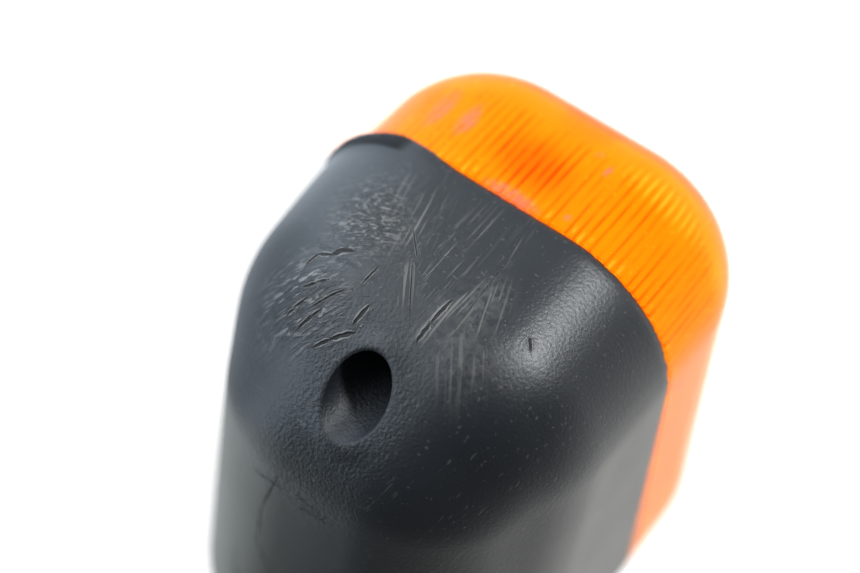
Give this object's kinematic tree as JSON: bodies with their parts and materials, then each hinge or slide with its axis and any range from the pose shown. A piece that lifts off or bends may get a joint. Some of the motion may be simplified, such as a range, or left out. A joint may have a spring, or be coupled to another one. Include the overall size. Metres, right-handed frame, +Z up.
{
  "type": "turn signal indicator",
  "caption": "Rectangular amber motorcycle turn signal on a short flexible rubber stalk with a hollow mounting stud and two wires.",
  "frame": {"origin": "centre of the rubber stalk's flat mounting face, on the axis of the hollow mounting stud", "axes": "+X outboard along the stalk, +Y towards the back of the lamp so that the lens shines towards -Y, +Z up"},
  "size_m": [0.211, 0.0679, 0.053],
  "materials": {
    "housing_plastic": "fine moulded texture, scuffed",
    "amber_lens": "gloss amber acrylic, fluted inside",
    "gasket_rubber": "matt",
    "zinc_steel": "zinc plated",
    "chromed_plastic": "vacuum metallised",
    "bulb_glass": "clear",
    "brass": "satin",
    "black_vitrite": "black glass bead",
    "solder": "dull solder",
    "tungsten": "drawn wire",
    "phenolic": "brown laminate",
    "spring_steel": "drawn wire",
    "stalk_rubber": "moulded, matt",
    "yellow_zinc_steel": "yellow zinc plated",
    "wire_orange": "PVC insulation",
    "wire_black": "PVC insulation",
    "vinyl_black": "soft vinyl",
    "vinyl_clear": "soft clear vinyl"
  },
  "bodies": {
    "mount": {"mounting_stud": "yellow_zinc_steel", "rubber_stalk": "stalk_rubber", "mounting_washer": "zinc_steel", "mounting_lock_washer": "zinc_steel", "mounting_nut": "zinc_steel", "signal_wire": "wire_orange", "earth_wire": "wire_black", "wire_sheath": "vinyl_black", "bullet_terminals": "brass", "terminal_sleeves": "vinyl_clear"},
    "head": {"housing": "housing_plastic", "lens": "amber_lens", "lens_gasket": "gasket_rubber", "lens_screw": "zinc_steel", "lens_screw_washer": "zinc_steel", "reflector": "chromed_plastic", "reflector_screws": "zinc_steel", "bulb_socket": "zinc_steel", "socket_rivets": "brass", "head_stud": "yellow_zinc_steel", "head_stud_washer": "zinc_steel", "head_stud_nut": "zinc_steel", "contact_spring": "spring_steel"},
    "bulb": {"bulb_glass": "bulb_glass", "bulb_cap": "brass", "bulb_base_insulator": "black_vitrite", "bulb_contact": "solder", "bulb_glass_mount": "bulb_glass", "bulb_lead_wires": "tungsten", "bulb_filament": "tungsten"},
    "contact": {"contact_insulator": "phenolic", "contact_plunger": "brass"}
  },
  "joints": [
    {"name": "stalk_flex", "type": "hinge", "parent": "mount", "child": "head", "pos_m": [0.015, 0, 0], "axis": [0, 0, 1], "range_deg": [-20, 20], "stiffness_Nm_per_rad": 1.5, "deforming": ["rubber_stalk", "signal_wire", "earth_wire"]},
    {"name": "bulb_press", "type": "slide", "parent": "head", "child": "bulb", "axis": [0, 1, 0], "range_m": [0, 0.0015]},
    {"name": "contact_press", "type": "slide", "parent": "head", "child": "contact", "axis": [0, 1, 0], "range_m": [0, 0.0015], "stiffness_N_per_m": 2000, "deforming": ["contact_spring"]}
  ],
  "couplings": [
    {"joint": "contact_press", "follows": "bulb_press", "ratio": 1}
  ]
}
